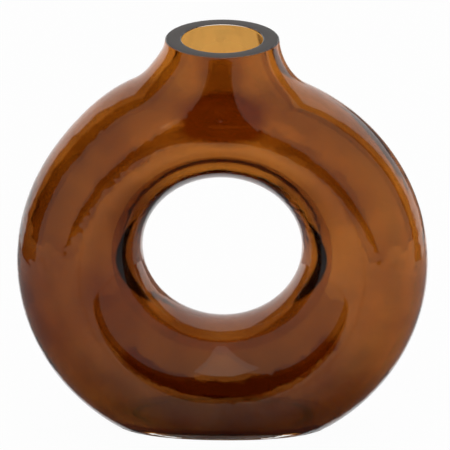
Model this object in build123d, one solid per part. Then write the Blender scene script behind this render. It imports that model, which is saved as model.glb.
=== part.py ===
from build123d import *

import os

# Donut vase of thick mould-blown glass: a hollow ring that stands on a flat
# foot and opens upwards in a short round neck. Clear glass carries the shape,
# and a thin amber layer lies all over its inside. Lengths are millimetres.
# The origin is the middle of the foot, on the table. X runs across the ring,
# Y runs through the hole from front to back, and Z is up.

# The ring
ring_width = 190.0
ring_depth = 57.0
ring_centre_height = 80.0
hole_width = 73.4
hole_rise = 8.3

# The width of the flat between the outer and the inner rounding at the crown,
# where the ring is at its slimmest
crown_flat = 1.0

# The neck and the mouth
vase_height = 190.2
mouth_width = 51.8
bore_width = 38.2
neck_taper = 2.0
shoulder_radius = 26.0
rim_round = 0.6

# The walls and the foot
wall = 4.5
floor_thickness = 7.0
foot_round = 3.0
floor_round = 5.0
lining_thickness = 0.6

# The neck is made longer than it stands by this much, then ground to height
grinding_allowance = 10.0

ring_radius = ring_width / 2
hole_radius = hole_width / 2
half_depth = ring_depth / 2
hole_height = ring_centre_height + hole_rise
crown_width = ring_radius - hole_rise - hole_radius
round_width = (crown_width - crown_flat) / 2
crown_middle = hole_height + hole_radius + crown_width / 2
neck_length = vase_height - crown_middle
blown_top = vase_height + grinding_allowance


def outer_rounding(inset):
    """The half ellipse that rounds the ring's outside, from front to back."""
    edge = Edge.make_ellipse(round_width - inset, half_depth - inset, start_angle=-90, end_angle=90)
    return Pos(ring_radius - round_width, 0, 0) * edge


def hole_rounding(inset):
    """The half ellipse that rounds the hole's wall, from back to front."""
    edge = Edge.make_ellipse(round_width - inset, half_depth - inset, start_angle=90, end_angle=270)
    return Pos(hole_radius + round_width, 0, 0) * edge


def turned_disc(rim, past, height):
    """A disc turned on a level axis from front to back, run on past the rim's ends."""
    start = rim.position_at(0)
    end = rim.position_at(1)
    outward = 1 if start.Y > 0 else -1
    start_face = start.Y + outward * past
    end_face = end.Y - outward * past
    corners = [end, Vector(end.X, end_face, 0), Vector(0, end_face, 0)]
    corners += [Vector(0, start_face, 0), Vector(start.X, start_face, 0), start]
    sides = [rim]
    for first, second in zip(corners, corners[1:]):
        if (second - first).length > 0:
            sides.append(Edge.make_line(first, second))
    return Pos(0, 0, height) * Solid.revolve(Face(Wire(sides)), 360, Axis.Y)


def ring_form(inset):
    """The closed ring: a disc with a rounded outside, less a hole with rounded lips."""
    disc = turned_disc(outer_rounding(inset), 0, ring_centre_height)
    hole = turned_disc(hole_rounding(inset), wall, hole_height)
    return disc - hole


def neck_form(rim_radius):
    """A round neck that narrows a little from the middle of the crown upwards."""
    slope = neck_taper / neck_length
    root_radius = rim_radius + slope * neck_length
    top_radius = rim_radius - slope * grinding_allowance
    neck = Solid.make_cone(root_radius, top_radius, blown_top - crown_middle)
    return Pos(0, 0, crown_middle) * neck


def shoulder_seam(form):
    """The edge where the neck leaves the ring."""
    seam = []
    for edge in form.edges():
        box = edge.bounding_box()
        between = box.min.Z > crown_middle and box.max.Z < blown_top
        if between and box.size.Y > bore_width / 2:
            seam.append(edge)
    return seam


def edges_at(form, height):
    """The edges that lie level at one height."""
    level = []
    near = rim_round / 6
    for edge in form.edges():
        box = edge.bounding_box()
        if abs(box.min.Z - height) < near and abs(box.max.Z - height) < near:
            level.append(edge)
    return level


def cut_below(form, height):
    """What is left of a form above a level cut."""
    waste = Box(ring_width, ring_width, ring_width, align=(Align.CENTER, Align.CENTER, Align.MAX))
    return form - Pos(0, 0, height) * waste


def cut_above(form, height):
    """What is left of a form below a level cut."""
    waste = Box(ring_width, ring_width, ring_width, align=(Align.CENTER, Align.CENTER, Align.MIN))
    return form - Pos(0, 0, height) * waste


def blown_form(inset, rim_radius, floor_height, edge_round):
    """The ring with its neck on its flat foot, drawn in by an inset."""
    form = ring_form(inset).fuse(neck_form(rim_radius))
    form = form.fillet(shoulder_radius + inset, shoulder_seam(form))
    form = cut_below(form, floor_height)
    return form.fillet(edge_round, edges_at(form, floor_height))


def make_cavity():
    """The space inside the clear glass, neck and all."""
    return blown_form(wall, bore_width / 2, floor_thickness, floor_round)


def make_glass_body(cavity):
    """The clear glass, ground flat at the mouth and at the foot."""
    glass = blown_form(0, mouth_width / 2, 0, foot_round) - cavity
    glass = cut_above(glass, vase_height)
    return glass.fillet(rim_round, edges_at(glass, vase_height))


def make_amber_lining(cavity):
    """The amber layer, even all over the cavity, up to the rounded edge of the rim."""
    inset = wall + lining_thickness
    bore_radius = bore_width / 2 - lining_thickness
    floor_height = floor_thickness + lining_thickness
    inner_round = floor_round - lining_thickness
    lining = cavity - blown_form(inset, bore_radius, floor_height, inner_round)
    return cut_above(lining, vase_height - rim_round)


os.makedirs("parts", exist_ok=True)
cavity = make_cavity()
export_step(make_glass_body(cavity), "parts/glass_body.step")
export_step(make_amber_lining(cavity), "parts/amber_lining.step")
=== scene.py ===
import math

import bpy
import numpy as np
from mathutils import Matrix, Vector


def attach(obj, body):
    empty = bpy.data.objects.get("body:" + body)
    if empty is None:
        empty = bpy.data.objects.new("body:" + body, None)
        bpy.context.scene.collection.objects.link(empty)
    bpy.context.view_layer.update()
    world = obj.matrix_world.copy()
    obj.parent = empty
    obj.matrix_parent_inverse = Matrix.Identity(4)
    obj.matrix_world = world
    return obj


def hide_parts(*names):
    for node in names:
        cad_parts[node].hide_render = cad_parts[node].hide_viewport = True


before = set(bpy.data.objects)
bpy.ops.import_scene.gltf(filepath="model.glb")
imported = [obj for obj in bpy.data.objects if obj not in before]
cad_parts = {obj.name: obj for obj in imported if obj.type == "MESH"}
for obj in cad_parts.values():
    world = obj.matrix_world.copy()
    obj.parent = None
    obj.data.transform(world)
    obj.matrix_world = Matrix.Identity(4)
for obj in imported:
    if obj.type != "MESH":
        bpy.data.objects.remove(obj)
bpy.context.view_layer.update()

# A donut vase of thick mould-blown glass, clear outside and stained amber all
# over the inside. Lengths are millimetres until a mesh is made, as in the
# part's source. X runs across the ring, the front is towards -Y, and Z is up.

MILLIMETRE = 0.001

# The ring and its foot, as in the part's source
ring_radius = 95.0
ring_centre_height = 80.0
half_depth = 28.5
hole_radius = 36.7
hole_height = 88.3
foot_round = 3.0

# The neck and the mouth, as in the part's source
vase_height = 190.2
mouth_radius = 25.9
bore_radius = 19.1
neck_taper = 2.0
shoulder_radius = 26.0
rim_round = 0.6

# The walls. Beside the hole the glass is thicker than in the part's source,
# and under the cavity thinner, which puts the amber where the photo shows it.
wall = 4.5
hole_wall = 6.5
floor_thickness = 2.6
floor_round = 5.0
lining_thickness = 0.6

# The amber is a sheet just under the inner surface, so clear glass closes over it
stain_thickness = 0.5
stain_below_rim = 0.4
stain_round = 0.1

# What blowing did to the form: the ring's section is a little squarer than an
# ellipse, the neck blends more roundly into its front and back, and the left
# shoulder came out fuller, most of all at one height
section_power = 2.05
front_fill = 14.0
fuller_left = 2.8
fuller_height = 170.0
fuller_spread = 20.0
fuller_below_rim = 14.0

# The cavity's flat floor, an oval
floor_half_width = 41.0
floor_half_depth = 18.0

# The foot is ground up to this height, and the rim wherever it is level
ground_height = 2.2
level_within = 0.012

hole_rise = hole_height - ring_centre_height
crown_middle = ring_centre_height + (ring_radius + hole_rise + hole_radius) / 2
neck_slope = neck_taper / (vase_height - crown_middle)

# How finely the skins are drawn. The neck stands on a patch of the ring's grid
# that reaches this many steps from the top, round the ring and across it.
sections_round_ring = 180
points_round_section = 72
rays_round_section = 360
neck_rows = 26
crown_steps_round = 17
crown_steps_across = 15
rim_round_steps = 3

# How the skins are found: the longest ray, in millimetres, how often it is
# halved, how much a bend draws points to it, and how often points are evened
# out and moved back onto the skin
longest_ray = 60.0
ray_halvings = 30
fold_focus = 10.0
bend_smoothings = 6
neck_smoothings = 30
settle_rounds = 8
settle_rounds_between = 2
settle_step = 0.02
least_steepness = 0.05
nearly_opposite = -0.999
nearly_level = 0.9999
tiny = 1e-6


# The blown form

def ring_skin(points, inset, hole_inset):
    """Distance of points from the ring's skin, the way out of it, and whether they are on its outer side."""
    x, y, z = points[..., 0], points[..., 1], points[..., 2] - hole_height
    radius = np.maximum(np.hypot(x, z), tiny)
    across = hole_rise * z / radius
    reach = np.sqrt(across**2 - hole_rise**2 + ring_radius**2) - across
    middle = (reach - inset + hole_radius + hole_inset) / 2
    half_width = (reach - inset - hole_radius - hole_inset) / 2
    half_thickness = half_depth - inset
    u = (radius - middle) / half_width
    v = y / half_thickness
    size = np.maximum((abs(u)**section_power + abs(v)**section_power)**(1 / section_power), tiny)
    grow_u = np.sign(u) * (abs(u) / size)**(section_power - 1) / half_width
    grow_v = np.sign(v) * (abs(v) / size)**(section_power - 1) / half_thickness
    growth = np.maximum(np.hypot(grow_u, grow_v), tiny)
    out = np.stack([grow_u * x / radius, grow_v, grow_u * z / radius], -1)
    return (size - 1) / growth, out / growth[..., None], u > 0


def neck_skin(points, rim_radius):
    """Distance of points from the neck's skin, and the way out of it."""
    x, y, z = points[..., 0], points[..., 1], points[..., 2]
    radius = np.maximum(np.hypot(x, y), tiny)
    lean = math.hypot(1, neck_slope)
    distance = (radius - rim_radius - neck_slope * (vase_height - z)) / lean
    out = np.stack([x / radius, y / radius, np.full_like(z, neck_slope)], -1) / lean
    return distance, out


def rolled_join(first, first_out, second, second_out, radius):
    """Distance from two joined forms, with the corner between them filled as by a rolling ball."""
    turn = np.clip((first_out * second_out).sum(-1), nearly_opposite, nearly_level)
    u = first - radius
    w = second - radius
    reach = np.sqrt(np.maximum(u * u + w * w - 2 * turn * u * w, 0) / (1 - turn * turn))
    corner = (u <= turn * w) & (w <= turn * u)
    return np.where(corner, radius - reach, np.minimum(first, second))


def left_shoulder(points):
    """How much fuller the shoulder is on the left, fading out at the rim and lower down."""
    x, y, z = points[..., 0], points[..., 1], points[..., 2]
    left = np.clip(-x / np.maximum(np.hypot(x, y), tiny), 0, 1)
    below = np.clip((vase_height - z) / fuller_below_rim, 0, 1)
    rise = below * below * (3 - 2 * below)
    return fuller_left * left**2 * rise * np.exp(-((z - fuller_height) / fuller_spread)**2)


class Skin:
    """One skin of the vase: its outside, or a surface within the glass."""

    def __init__(self, inset, hole_inset, rim_radius, floor, edge):
        self.inset = inset
        self.hole_inset = hole_inset
        self.rim_radius = rim_radius
        self.floor = floor
        self.edge = edge

    def deeper(self, by):
        """The skin that lies this much further in everywhere."""
        return Skin(self.inset + by, self.hole_inset + by, self.rim_radius - by, self.floor + by,
                    self.edge - by)

    def above_floor(self, distance, out, points):
        """The distance with the form cut level at the floor, over a rounded edge."""
        down = np.zeros_like(out)
        down[..., 2] = -1
        return -rolled_join(-distance, out, points[..., 2] - self.floor, down, self.edge)

    def ring(self, points):
        """Distance of points from the ring alone."""
        distance, out, _ = ring_skin(points, self.inset, self.hole_inset)
        return self.above_floor(distance, out, points)

    def whole(self, points):
        """Distance of points from the ring and the neck that grows out of it."""
        ring, ring_out, outer_side = ring_skin(points, self.inset, self.hole_inset)
        neck, neck_out = neck_skin(points, self.rim_radius)
        facing = points[..., 1]**2 / np.maximum(points[..., 0]**2 + points[..., 1]**2, tiny)
        fill = shoulder_radius + front_fill * facing + self.inset
        joined = rolled_join(ring, ring_out, neck, neck_out, fill) - left_shoulder(points)
        joined = np.where(outer_side & (points[..., 2] > hole_height), joined, ring)
        return self.above_floor(joined, ring_out, points)

    def settle(self, points, rounds=settle_rounds):
        """Moves points onto the skin, straight along its slope."""
        for _ in range(rounds):
            slope = np.empty_like(points)
            for axis in range(3):
                shift = np.zeros(3)
                shift[axis] = settle_step
                slope[..., axis] = self.whole(points + shift) - self.whole(points - shift)
            slope /= 2 * settle_step
            steepness = np.maximum((slope**2).sum(-1), least_steepness)
            points = points - slope * (self.whole(points) / steepness)[..., None]
        return points


def spread_points(outline):
    """Points along a closed outline, closer together where it bends most."""
    ahead = np.roll(outline, -1, 0) - outline
    length = np.linalg.norm(ahead, axis=1)
    way = ahead / length[:, None]
    bend = np.linalg.norm(way - np.roll(way, 1, 0), axis=1)
    bend = (bend + np.roll(bend, -1)) / 2
    for _ in range(bend_smoothings):
        bend = (bend + np.roll(bend, 1) + np.roll(bend, -1)) / 3
    travelled = np.concatenate([[0], np.cumsum(length + fold_focus * bend)])
    wanted = travelled[-1] * np.arange(points_round_section) / points_round_section
    closed = np.vstack([outline, outline[:1]])
    return np.stack([np.interp(wanted, travelled, closed[:, axis]) for axis in range(3)], -1)


def ring_grid(skin):
    """Sections round the ring, each found by rays from its middle, first towards the hole, then the front."""
    turns = math.pi / 2 + 2 * math.pi * np.arange(sections_round_ring) / sections_round_ring
    rays = math.pi - 2 * math.pi * np.arange(rays_round_section) / rays_round_section
    across = hole_rise * np.sin(turns)
    reach = np.sqrt(across**2 - hole_rise**2 + ring_radius**2) - across
    down_to_floor = (hole_height - skin.floor) / np.maximum(-np.sin(turns), tiny)
    middle = (np.minimum(reach, down_to_floor) + hole_radius + skin.hole_inset) / 2

    def ray_ends(length):
        radius = middle[:, None] + length * np.cos(rays)
        x = radius * np.cos(turns)[:, None]
        z = hole_height + radius * np.sin(turns)[:, None]
        return np.stack([x, -length * np.sin(rays), z], -1)

    inner = np.zeros((sections_round_ring, rays_round_section))
    outer = np.full_like(inner, longest_ray)
    for _ in range(ray_halvings):
        half = (inner + outer) / 2
        inside = skin.ring(ray_ends(half)) < 0
        inner = np.where(inside, half, inner)
        outer = np.where(inside, outer, half)
    return np.array([spread_points(outline) for outline in ray_ends((inner + outer) / 2)])


def crown_border():
    """The grid's steps round the patch that the neck stands on, from its right front corner."""
    right, left = -crown_steps_round, crown_steps_round
    front = points_round_section // 2 - crown_steps_across
    back = points_round_section // 2 + crown_steps_across
    border = [(i, front) for i in range(right, left)]
    border += [(left, j) for j in range(front, back)]
    border += [(i, back) for i in range(left, right, -1)]
    border += [(right, j) for j in range(back, front, -1)]
    return border


def neck_grid(skin, start, top):
    """Rows of points up the neck, from a loop on the ring to a level one, spread evenly over the skin."""
    count = len(start)
    angles = np.unwrap(np.arctan2(start[:, 1], start[:, 0]))
    whole_turn = math.copysign(2 * math.pi, angles[-1] - angles[0])

    # The level loop turns the same way, and the middle of its front side is in front
    even = whole_turn * (np.arange(count) - crown_steps_round) / count - math.pi / 2
    radius = skin.rim_radius + neck_slope * (vase_height - top)
    rim = np.stack([radius * np.cos(even), radius * np.sin(even), np.full(count, top)], -1)
    share = (np.arange(neck_rows + 1) / neck_rows)[:, None, None]
    rows = start * (1 - share) + rim * share
    rows[1:-1] = skin.settle(rows[1:-1])
    for _ in range(neck_smoothings):
        beside = (np.roll(rows, 1, 1) + np.roll(rows, -1, 1))[1:-1]
        rows[1:-1] = (beside + rows[:-2] + rows[2:]) / 4
        rows[1:-1] = skin.settle(rows[1:-1], settle_rounds_between)
    rows[1:-1] = skin.settle(rows[1:-1])
    return rows


def join_loops(faces, below, above):
    """Adds the band of faces between two loops."""
    for k in range(len(below)):
        after = (k + 1) % len(below)
        faces.append((above[k], above[after], below[after], below[k]))


def skin_mesh(skin, top):
    """Points and faces of one skin up to a level loop, and that loop's points."""
    grid = ring_grid(skin)
    border = crown_border()
    rows = neck_grid(skin, skin.settle(np.array([grid[i, j] for i, j in border])), top)

    # The ring keeps its grid, apart from the patch under the neck. The middle
    # of a face is half a step further on than its first point.
    round_ring, across = np.indices(grid.shape[:2])
    round_ring = (round_ring + crown_steps_round) % sections_round_ring - crown_steps_round
    across = across - points_round_section // 2
    points_kept = (abs(round_ring) >= crown_steps_round) | (abs(across) >= crown_steps_across)
    faces_kept = (abs(round_ring + 0.5) > crown_steps_round) | (abs(across + 0.5) > crown_steps_across)
    points = list(skin.settle(grid[points_kept]))
    number = np.full(grid.shape[:2], -1)
    number[points_kept] = np.arange(len(points))
    number = number.tolist()
    faces = []
    for i, j in np.argwhere(faces_kept).tolist():
        after, beyond = (i + 1) % sections_round_ring, (j + 1) % points_round_section
        faces.append((number[i][beyond], number[after][beyond], number[after][j], number[i][j]))

    below = [number[i][j] for i, j in border]
    for row in rows[1:]:
        here = list(range(len(points), len(points) + len(row)))
        points.extend(row)
        join_loops(faces, below, here)
        below = here
    return points, faces, below


def close_rim(points, faces, outer_loop, inner_loop, outer_radius, inner_radius, top, rounding):
    """Joins two loops over a level face with rounded edges."""
    bends = [math.pi / 2 * step / rim_round_steps for step in range(1, rim_round_steps + 1)]
    loops = [(outer_loop, outer_radius - rounding * (1 - math.cos(bend)), bend) for bend in bends]
    loops += [(inner_loop, inner_radius + rounding * (1 - math.cos(bend)), bend) for bend in reversed(bends)]
    below = outer_loop
    for like, radius, bend in loops:
        height = top - rounding * (1 - math.sin(bend))
        here = list(range(len(points), len(points) + len(like)))
        for number in like:
            x, y = points[number][:2]
            scale = radius / math.hypot(x, y)
            points.append(np.array([x * scale, y * scale, height]))
        join_loops(faces, below, here)
        below = here
    join_loops(faces, below, inner_loop)


def make_shell(name, outer, inner, top, rounding, materials):
    """A closed shell between two skins, with a level rim. It is all of the first material."""
    points, faces, outer_loop = skin_mesh(outer, top - rounding)
    inner_points, inner_faces, inner_loop = skin_mesh(inner, top - rounding)
    first = len(points)
    points += inner_points
    faces += [tuple(first + number for number in reversed(face)) for face in inner_faces]
    inner_loop = [first + number for number in inner_loop]
    close_rim(points, faces, outer_loop, inner_loop, outer.rim_radius, inner.rim_radius, top, rounding)
    mesh = bpy.data.meshes.new(name)
    mesh.from_pydata([tuple(point * MILLIMETRE) for point in points], [], faces)
    for material in materials:
        mesh.materials.append(material)
    mesh.update()
    mesh.shade_smooth()
    shell = bpy.data.objects.new(name, mesh)
    bpy.context.scene.collection.objects.link(shell)
    return shell


def grind(vase):
    """Gives the level rim, the foot under the cavity's floor and the foot's edge their ground glass,
    which stand in this order after the clear glass in the vase's materials, with painted shade on the rim
    and painted amber light on the foot and its edge."""
    rim, foot, edge = 1, 2, 3
    for face in vase.data.polygons:
        heights = [vase.data.vertices[number].co.z / MILLIMETRE for number in face.vertices]
        if min(heights) > vase_height - level_within:
            face.material_index = rim
        elif max(heights) < ground_height:
            x, y = face.center.x / MILLIMETRE, face.center.y / MILLIMETRE
            under_floor = (x / floor_half_width)**2 + (y / floor_half_depth)**2 < 1
            face.material_index = foot if under_floor else edge


# Nodes and materials

def colour(code):
    """An sRGB hex colour turned to linear values."""
    parts = [int(code[k:k + 2], 16) / 255 for k in (1, 3, 5)]
    linear = [c / 12.92 if c <= 0.04045 else ((c + 0.055) / 1.055)**2.4 for c in parts]
    return (*linear, 1.0)


def add(tree, kind, *inputs, **named):
    """Adds a node. Names in small letters are its settings. Its inputs come in their order, or by name
    with a capital letter and _ for a space. An input is a value, a socket, or a node's first output."""
    node = tree.nodes.new("ShaderNode" + kind)
    for name, value in named.items():
        if name[0].islower():
            setattr(node, name, value)
    filled = list(zip([socket for socket in node.inputs if socket.enabled], inputs))
    filled += [(node.inputs[name.replace("_", " ")], named[name]) for name in named if name[0].isupper()]
    for socket, value in filled:
        if isinstance(value, bpy.types.Node):
            value = next(output for output in value.outputs if output.enabled)
        if isinstance(value, bpy.types.NodeSocket):
            tree.links.new(value, socket)
        else:
            socket.default_value = value
    return node


def soft_patch(tree, strength, *edges):
    """A strength that fades in over each edge: a value, where it is still 0, and where it is full."""
    for value, start, full in edges:
        share = add(tree, "MapRange", value, start, full, interpolation_type="SMOOTHSTEP")
        strength = add(tree, "Math", strength, share, operation="MULTIPLY")
    return strength


def between(value, low, high, soft):
    """The two edges of a patch from low to high, each as wide as soft."""
    return (value, low - soft / 2, low + soft / 2), (value, high + soft / 2, high - soft / 2)


def new_material(name):
    """A new material, its node tree, and the place on the piece in millimetres."""
    material = bpy.data.materials.new(name)
    material.use_nodes = True
    tree = material.node_tree
    tree.nodes.clear()
    place = add(tree, "TexCoord").outputs["Object"]
    return material, tree, add(tree, "VectorMath", place, operation="SCALE", Scale=1 / MILLIMETRE)


# Clear glass. The mould leaves ripples about as wide as a thumb, and chill
# marks in patches where the glass met it coldest.
glass_ior = 1.5
ripple_size = 16.0
ripple_depth = 0.12
chill_size = 6.5
chill_depth = 0.25
chill_patch_size = 45.0
chill_patch_edge = (0.45, 0.6)


def make_clear_glass():
    """Soda-lime glass blown in a mould and left as it came out: clear and bright, and its ripples and
    chill marks make the edges of the reflections waver."""
    material, tree, place = new_material("blown_clear_glass")
    ripples = add(tree, "TexNoise", Vector=place, Scale=1 / ripple_size, Detail=1.0, Roughness=0.4)
    rippled = add(tree, "Bump", Height=ripples, Strength=1.0, Distance=ripple_depth * MILLIMETRE)
    chill = add(tree, "TexNoise", Vector=place, Scale=1 / chill_size, Detail=1.0)
    patches = add(tree, "TexNoise", Vector=place, Scale=1 / chill_patch_size, Detail=0.0)
    patches = add(tree, "MapRange", patches, *chill_patch_edge)
    chilled = add(tree, "Bump", Height=chill, Strength=patches, Distance=chill_depth * MILLIMETRE,
                  Normal=rippled)
    glass = add(tree, "BsdfPrincipled", Base_Color=colour("#FBFCFB"), Roughness=0.0, IOR=glass_ior,
                Transmission_Weight=1.0, Normal=chilled)
    add(tree, "OutputMaterial", Surface=glass)
    return material


# Ground glass. The real grain is a few hundredths of a millimetre, too fine to
# show, so it is drawn coarser.
grain_size = 1.2
ground_roughness = 0.55


def make_ground_glass(name, darker, lighter, clearness):
    """Soda-lime glass ground flat on a wheel: the broken surface scatters light, so it is dull, with a
    fine grain, and passes only part of what lies behind it. Its two colours are not the glass's own but
    painted: shade on the rim, amber light on the foot."""
    material, tree, place = new_material(name)
    grain = add(tree, "TexNoise", Vector=place, Scale=1 / grain_size, Detail=2.0)
    tone = add(tree, "Mix", grain, colour(darker), colour(lighter), data_type="RGBA")
    glass = add(tree, "BsdfPrincipled", Base_Color=tone, Roughness=ground_roughness, IOR=glass_ior,
                Transmission_Weight=clearness)
    add(tree, "OutputMaterial", Surface=glass)
    return material


# Amber stain. It is too thin to bend light, which the clear glass round it
# does, and a share of its light is mirrored, in its own colour.
stain_ior = 1.0
stain_mirror = 0.115

# The stain's depth is 0 where it is pale and 1 where it is deep. Each fade
# goes from where a patch starts to where it is full. All over, the stain has
# this depth, clears towards the rim, and gets deeper with each millimetre to
# the left. Patches that are only on the front fade in over the ring's middle.
body_depth = 0.45
body_fade = (178.0, 166.0)
deeper_leftwards = 0.002
front_fade = (5.0, -5.0)

# It is deeper low in the ring, and where the ring is widest, below its middle
low_depth = 0.22
low_fade = (75.0, 20.0)
flank_out = 74.0
flank_height = 73.0
flank_fade = (38.0, 5.0)
flank_depth = 0.3
flank_deeper_rightwards = 0.002

# The dark wedge at the crown, and the front of the neck over it
crown_depth = 1.3
crown_height = 159.0
crown_stretch = 1.6
crown_fade = (16.0, 4.0)
neck_front_depth = 0.15
neck_front_fade = (160.0, 172.0)
throat_depth = 0.45
throat_side_fade = (13.0, 5.0)
throat_fade = (158.0, 168.0)

# It is paler over the upper ring, and most of all in the arch over the hole
upper_paler = 0.12
upper_fade = (105.0, 130.0)
arch_paler = 0.5
arch_radius = 53.0
arch_side_fade = (10.0, 3.0)
arch_fade = (126.0, 136.0)

# The ragged lines where the stain ran together on the front, below and above
# the hole
run_side_fade = (4.3, 2.7)
run_radius = 62.5
run_depth = 0.8
run_fade = (58.0, 40.0)
run_left_fade = (-50.0, -36.0)
upper_run_radius = 66.5
upper_run_depth = 0.25
upper_run_fade = (100.0, 118.0)

# The line round the cavity's floor. Its width is a share of the oval's size,
# and in front it shows only in the middle.
floor_line_depth = 0.9
floor_line_side_fade = (0.065, 0.03)
floor_line_fade = (12.0, 10.0)
floor_line_back_fade = (-14.0, -8.0)
floor_line_middle_fade = (27.0, 20.0)

# Painted dark reflection: near-black crescents left and right where the front
# wall folds into the hole, standing in for the dark far side of the hole that the
# glass mirrors there, not for stain. They grow thinner with the square of the
# height from the hole's middle, less so below it, where they also draw in towards
# the hole
painted_crescent_inner_fade = (46.0, 47.0)
painted_crescent_outer_fade = (50.5, 49.5)
painted_crescent_front_fade = (-5.0, -7.0)
painted_crescent_thinner = 0.008
painted_crescent_thinner_below = 0.004
painted_crescent_lean = 0.12

# How uneven the stain is: the size of a pattern in millimetres, and how much
# it changes in all. The real speckle is finer than a pixel, so it is drawn
# coarser.
cloud_size = 55.0
cloud_strength = 1.7
speckle_size = 0.9
speckle_strength = 0.3
stroke_size = 7.0
stroke_reach = 10.0
wobble_size = 9.0
wobble_share = 0.12


def make_amber_stain():
    """Amber stain sprayed inside the glass and fired: see-through, cloudy where it lies thick or thin, finely
    speckled by the spray, and thin enough to mirror a little, which gives the milky sheen. Near-black
    crescents beside the hole are painted dark reflection."""
    material, tree, place = new_material("amber_glass_stain")
    x, y, z = add(tree, "SeparateXYZ", place).outputs
    front = (y, *front_fade)
    aside = add(tree, "Math", x, operation="ABSOLUTE")
    upright = add(tree, "VectorMath", place, (1, 0, 1), operation="MULTIPLY")
    from_hole = add(tree, "VectorMath", upright, (0, 0, hole_height), operation="DISTANCE")
    squeezed = add(tree, "VectorMath", upright, (1 / crown_stretch, 0, 1), operation="MULTIPLY")
    from_crown = add(tree, "VectorMath", squeezed, (0, 0, crown_height), operation="DISTANCE")
    both_sides = add(tree, "VectorMath", upright, operation="ABSOLUTE")
    from_flank = add(tree, "VectorMath", both_sides, (flank_out, 0, flank_height), operation="DISTANCE")

    uneven = {}
    for name, size, amount, detail, roughness in (
            ("clouds", cloud_size, cloud_strength, 3.0, 0.55),
            ("speckle", speckle_size, speckle_strength, 1.0, 0.5),
            ("strokes", stroke_size, stroke_reach, 3.0, 0.6),
            ("wobble", wobble_size, wobble_share, 1.0, 0.5)):
        noise = add(tree, "TexNoise", Vector=place, Scale=1 / size, Detail=detail, Roughness=roughness)
        uneven[name] = add(tree, "Math", noise, amount, -amount / 2, operation="MULTIPLY_ADD")

    from_arch = add(tree, "Math", from_hole, arch_radius, operation="SUBTRACT")
    from_arch = add(tree, "Math", from_arch, operation="ABSOLUTE")
    flank = add(tree, "Math", x, flank_deeper_rightwards, flank_depth, operation="MULTIPLY_ADD")
    patches = [
        soft_patch(tree, body_depth, (z, *body_fade)),
        soft_patch(tree, low_depth, (z, *low_fade)),
        soft_patch(tree, flank, front, (from_flank, *flank_fade)),
        soft_patch(tree, crown_depth, front, (from_crown, *crown_fade)),
        soft_patch(tree, neck_front_depth, front, (z, *neck_front_fade)),
        soft_patch(tree, throat_depth, front, (aside, *throat_side_fade), (z, *throat_fade)),
        soft_patch(tree, -upper_paler, (z, *upper_fade)),
        soft_patch(tree, -arch_paler, (from_arch, *arch_side_fade), (z, *arch_fade)),
        add(tree, "Math", x, -deeper_leftwards, operation="MULTIPLY"),
        uneven["clouds"],
        uneven["speckle"],
    ]
    ragged = add(tree, "Math", from_hole, uneven["strokes"], operation="ADD")
    for radius, strength, *ends in (
            (run_radius, run_depth, (z, *run_fade), (x, *run_left_fade)),
            (upper_run_radius, upper_run_depth, (z, *upper_run_fade))):
        from_run = add(tree, "Math", ragged, radius, operation="SUBTRACT")
        from_run = add(tree, "Math", from_run, operation="ABSOLUTE")
        patches.append(soft_patch(tree, strength, front, (from_run, *run_side_fade), *ends))
    depth = 0.0
    for patch in patches:
        depth = add(tree, "Math", depth, patch, operation="ADD")
    tint = add(tree, "Mix", depth, colour("#DBA556"), colour("#8A4915"), data_type="RGBA")

    shares = (1 / floor_half_width, 1 / floor_half_depth, 0)
    oval = add(tree, "VectorMath", place, shares, operation="MULTIPLY")
    oval = add(tree, "VectorMath", oval, operation="LENGTH")
    oval = add(tree, "Math", oval, uneven["wobble"], operation="ADD")
    from_line = add(tree, "Math", oval, 1.0, operation="SUBTRACT")
    from_line = add(tree, "Math", from_line, operation="ABSOLUTE")
    shown = add(tree, "Math", soft_patch(tree, floor_line_depth, (y, *floor_line_back_fade)),
                soft_patch(tree, floor_line_depth, (aside, *floor_line_middle_fade)), operation="MAXIMUM")
    floor_line = soft_patch(tree, shown, (from_line, *floor_line_side_fade), (z, *floor_line_fade))

    above = add(tree, "Math", z, hole_height, operation="SUBTRACT")
    below = add(tree, "Math", hole_height, z, operation="SUBTRACT")
    below = add(tree, "Math", below, 0.0, operation="MAXIMUM")
    inner = add(tree, "Math", below, painted_crescent_lean, from_hole, operation="MULTIPLY_ADD")
    outer = inner
    for height, thinner in ((above, painted_crescent_thinner), (below, -painted_crescent_thinner_below)):
        squared = add(tree, "Math", height, height, operation="MULTIPLY")
        outer = add(tree, "Math", squared, thinner, outer, operation="MULTIPLY_ADD")
    # Painted dark reflection beside the hole, as crescents
    painted_crescent = soft_patch(tree, 1.0, (inner, *painted_crescent_inner_fade), (outer, *painted_crescent_outer_fade), (y, *painted_crescent_front_fade))

    # The painted crescents and the line round the cavity's floor turn the stain near black, and there it
    # mirrors nothing
    darkest = add(tree, "Math", painted_crescent, floor_line, operation="MAXIMUM")
    tint = add(tree, "Mix", darkest, tint, colour("#1C0600"), data_type="RGBA")
    mirror = add(tree, "Math", darkest, -stain_mirror, stain_mirror, operation="MULTIPLY_ADD")
    stain = add(tree, "BsdfPrincipled", Base_Color=tint, Roughness=0.0, Metallic=mirror, IOR=stain_ior,
                Transmission_Weight=1.0)
    add(tree, "OutputMaterial", Surface=stain)
    return material


# The studio. Azimuths run from the front towards the right, and elevations
# upwards, in degrees. Levels run from 0, black, to 1, white. Two large soft
# boxes stand left and right, with a slot between them that leans both ways and
# their lower edge raised in the middle.
box_level = 0.38
box_azimuths = (-85.0, 104.0)
box_bottom = -18.5
box_softness = 1.5
box_raised = 16.0
box_raised_within = 30.0
slot_azimuths = (-20.0, 14.0)
slot_lean = 0.35

# A small soft box over the camera
over_level = 0.87
over_azimuths = (-20.0, 12.0)
over_elevations = (22.0, 75.0)
over_softness = 2.0

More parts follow.
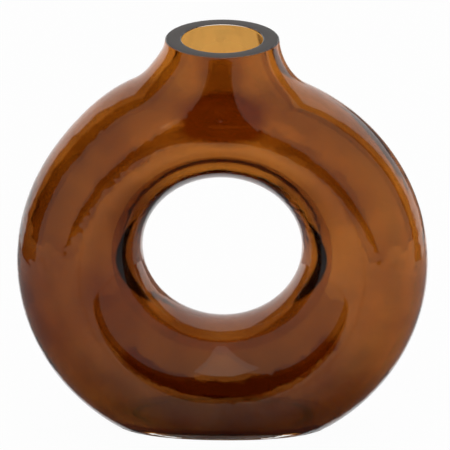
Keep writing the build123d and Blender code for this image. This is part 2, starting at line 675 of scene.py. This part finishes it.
# The table, darker near the vase and where the camera shades it in front
table_horizon_fade = (-18.0, -19.0)
table_front_fade = (-6.0, 4.0)
table_back_fade = (157.0, 147.0)
table_elevations = (-60.0, -15.0)
table_levels = (0.05, 0.45)

# The white backdrop outside these azimuths, and a dark stand in front of it
# that edges the right shoulder
backdrop_outside = (-130.0, 123.0)
backdrop_softness = 6.0
stand_darkness = 0.85
stand_azimuths = (148.0, 168.0)
stand_elevations = (-19.0, 1.0)
stand_softness = (4.0, 3.0)

# Light that has passed more surfaces than this has gone straight through the
# vase and sees plain white, as the camera does. What is mirrored inside the
# glass turns back sooner and sees the studio.
surfaces_passed = 7.0


def make_studio():
    """A world that is the studio's light from each direction, and white behind the vase."""
    world = bpy.data.worlds.new("studio")
    world.use_nodes = True
    tree = world.node_tree
    tree.nodes.clear()
    x, y, z = add(tree, "SeparateXYZ", add(tree, "TexCoord").outputs["Generated"]).outputs
    ahead = add(tree, "Math", y, -1.0, operation="MULTIPLY")
    azimuth = add(tree, "Math", add(tree, "Math", x, ahead, operation="ARCTAN2"), operation="DEGREES")
    elevation = add(tree, "Math", add(tree, "Math", z, operation="ARCSINE"), operation="DEGREES")
    beside = add(tree, "Math", azimuth, operation="ABSOLUTE")

    right_of_slot = add(tree, "Math", elevation, slot_lean, azimuth, operation="MULTIPLY_ADD")
    left_of_slot = add(tree, "Math", elevation, -slot_lean, azimuth, operation="MULTIPLY_ADD")
    slot_left, _ = between(left_of_slot, *slot_azimuths, box_softness)
    _, slot_right = between(right_of_slot, *slot_azimuths, box_softness)
    not_slot = add(tree, "Math", 1.0, soft_patch(tree, 1.0, slot_left, slot_right), operation="SUBTRACT")
    raised = add(tree, "MapRange", beside, 0.0, box_raised_within, box_raised, 0.0)
    lowered = add(tree, "Math", elevation, raised, operation="SUBTRACT")
    box_edge = (lowered, box_bottom - box_softness / 2, box_bottom + box_softness / 2)
    boxes = soft_patch(tree, box_level, *between(azimuth, *box_azimuths, box_softness), box_edge)
    boxes = add(tree, "Math", boxes, not_slot, operation="MULTIPLY")

    over = soft_patch(tree, over_level, *between(azimuth, *over_azimuths, over_softness),
                      *between(elevation, *over_elevations, over_softness))

    table = soft_patch(tree, 1.0, (elevation, *table_horizon_fade), (beside, *table_front_fade),
                       (beside, *table_back_fade))
    table_level = add(tree, "MapRange", elevation, *table_elevations, *table_levels)
    table_light = add(tree, "Math", table, table_level, operation="MULTIPLY")

    backdrop = 1.0
    for covering in (
            soft_patch(tree, 1.0, *between(azimuth, *backdrop_outside, backdrop_softness)),
            table,
            soft_patch(tree, stand_darkness, *between(azimuth, *stand_azimuths, stand_softness[0]),
                       *between(elevation, *stand_elevations, stand_softness[1]))):
        uncovered = add(tree, "Math", 1.0, covering, operation="SUBTRACT")
        backdrop = add(tree, "Math", backdrop, uncovered, operation="MULTIPLY")

    path = add(tree, "LightPath").outputs
    through = add(tree, "Math", path["Transmission Depth"], surfaces_passed, operation="GREATER_THAN")
    through = add(tree, "Math", through, path["Is Transmission Ray"], operation="MULTIPLY")
    level = path["Is Camera Ray"]
    for light in (through, boxes, over, table_light, backdrop):
        level = add(tree, "Math", level, light, operation="MAXIMUM")
    add(tree, "OutputWorld", Surface=add(tree, "Background", Color=level, Strength=1.0))
    return world


# The table. The foot touches it at a few points only, with air under the rest.
table_half_width = 500.0
table_front = -250.0
table_back = 600.0
table_gap = 0.4
table_white = 0.97

# Seen through the glass it is white away from the vase, and shaded near its foot
shaded_within = 50.0
white_beyond = 140.0
shaded_level = 0.4


def make_pale_table():
    """Matt white laminate: it scatters what light falls on it, keeps the vase's shadow, and is white to
    the camera and through the glass."""
    material, tree, place = new_material("pale_table")
    matt = add(tree, "BsdfDiffuse", Color=colour("#F2F2F2"))
    white = add(tree, "Emission", Color=colour("#FFFFFF"), Strength=1.0)
    away = add(tree, "VectorMath", place, operation="LENGTH")
    shown = add(tree, "MapRange", away, shaded_within, white_beyond, shaded_level, 1.0,
                interpolation_type="SMOOTHSTEP")
    path = add(tree, "LightPath").outputs
    clear = add(tree, "Math", path["Is Transmission Ray"], shown, operation="MULTIPLY")
    clear = add(tree, "Math", path["Is Camera Ray"], clear, operation="MAXIMUM")
    clear = add(tree, "Math", clear, table_white, operation="MULTIPLY")
    add(tree, "OutputMaterial", Surface=add(tree, "MixShader", clear, matt, white))
    return material


def make_table():
    """The table's top, as one level face."""
    corners = [(-table_half_width, table_front), (table_half_width, table_front),
               (table_half_width, table_back), (-table_half_width, table_back)]
    mesh = bpy.data.meshes.new("floor")
    mesh.from_pydata([Vector((x, y, -table_gap)) * MILLIMETRE for x, y in corners], [], [(0, 1, 2, 3)])
    mesh.materials.append(make_pale_table())
    table = bpy.data.objects.new("floor", mesh)
    table.visible_glossy = False
    bpy.context.scene.collection.objects.link(table)
    return table


# The lamps light what scatters, the table and the ground glass
lamp_azimuths = {"left_soft_box": -55.0, "right_soft_box": 55.0}
lamp_elevation = 20.0
lamp_distance = 1500.0
lamp_width = 1600.0
lamp_radiance = 0.45
lamps_aim_height = 90.0

# The view was found from the photo's outline: the ring's outer circle, the
# hole and the mouth's ellipse. The lens is for Blender's 36 mm wide sensor.
eye_azimuth = 1.21
eye_elevation = 22.99
eye_distance = 2000.0
lens = 345.97
aim_right = 1.276
aim_up = 17.375


def direction(azimuth, elevation):
    """The way out from the vase at an azimuth from the front towards the right and an elevation."""
    a, e = math.radians(azimuth), math.radians(elevation)
    return Vector((math.sin(a) * math.cos(e), -math.cos(a) * math.cos(e), math.sin(e)))


def place_and_turn(item, place, way):
    """Puts a camera or a lamp at a place and turns it to look this way."""
    item.location = place * MILLIMETRE
    item.rotation_mode = "QUATERNION"
    item.rotation_quaternion = way.to_track_quat("-Z", "Y")
    bpy.context.scene.collection.objects.link(item)


def add_camera():
    """The camera at the photo's view."""
    away = direction(eye_azimuth, eye_elevation)
    side = direction(eye_azimuth + 90, 0)
    ring_centre = Vector((0, 0, ring_centre_height))
    aim = ring_centre + side * aim_right + away.cross(side) * aim_up
    eye = ring_centre + away * eye_distance
    camera = bpy.data.objects.new("camera", bpy.data.cameras.new("camera"))
    camera.data.lens = lens
    place_and_turn(camera, eye, aim - eye)
    bpy.context.scene.camera = camera


def add_lamp(name, azimuth):
    """A flat square lamp turned to the vase. The glass doesn't mirror it, since the studio's world holds
    what the glass shows."""
    away = direction(azimuth, lamp_elevation)
    lamp = bpy.data.objects.new(name, bpy.data.lights.new(name, "AREA"))
    lamp.data.size = lamp_width * MILLIMETRE
    lamp.data.energy = lamp_radiance * math.pi * lamp.data.size**2
    lamp.visible_camera = False
    lamp.visible_glossy = False
    lamp.visible_transmission = False
    place_and_turn(lamp, Vector((0, 0, lamps_aim_height)) + away * lamp_distance, -away)


# The vase

glasses = [
    make_clear_glass(),
    # Painted shade: the level rim is dark grey, standing in for the light lost down the thick wall under it
    make_ground_glass("ground_glass_rim_painted_shade", "#332C28", "#463C37", clearness=0.2),
    # Painted light: the ground foot and its edge are brown, standing in for the amber light that the stain
    # passes down to them
    make_ground_glass("ground_glass_foot_painted_amber_light", "#D2A078", "#E0B48C", clearness=0.55),
    make_ground_glass("ground_glass_edge_painted_amber_light", "#A0683C", "#B47A4A", clearness=0.9),
]
outside = Skin(0.0, 0.0, mouth_radius, 0.0, foot_round)
cavity = Skin(wall, hole_wall, bore_radius, floor_thickness, floor_round)

vase = make_shell("vase_glass", outside, cavity.deeper(lining_thickness), vase_height, rim_round, glasses)
grind(vase)
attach(vase, "root")
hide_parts("glass_body")

stain = make_shell("amber_layer", cavity, cavity.deeper(stain_thickness), vase_height - stain_below_rim,
                   stain_round, [make_amber_stain()])
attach(stain, "root")
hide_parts("amber_lining")

# The stage

add_camera()
floor = make_table()
for name, azimuth in lamp_azimuths.items():
    add_lamp(name, azimuth)
bpy.context.scene.world = make_studio()
bpy.context.scene.view_settings.view_transform = "Standard"
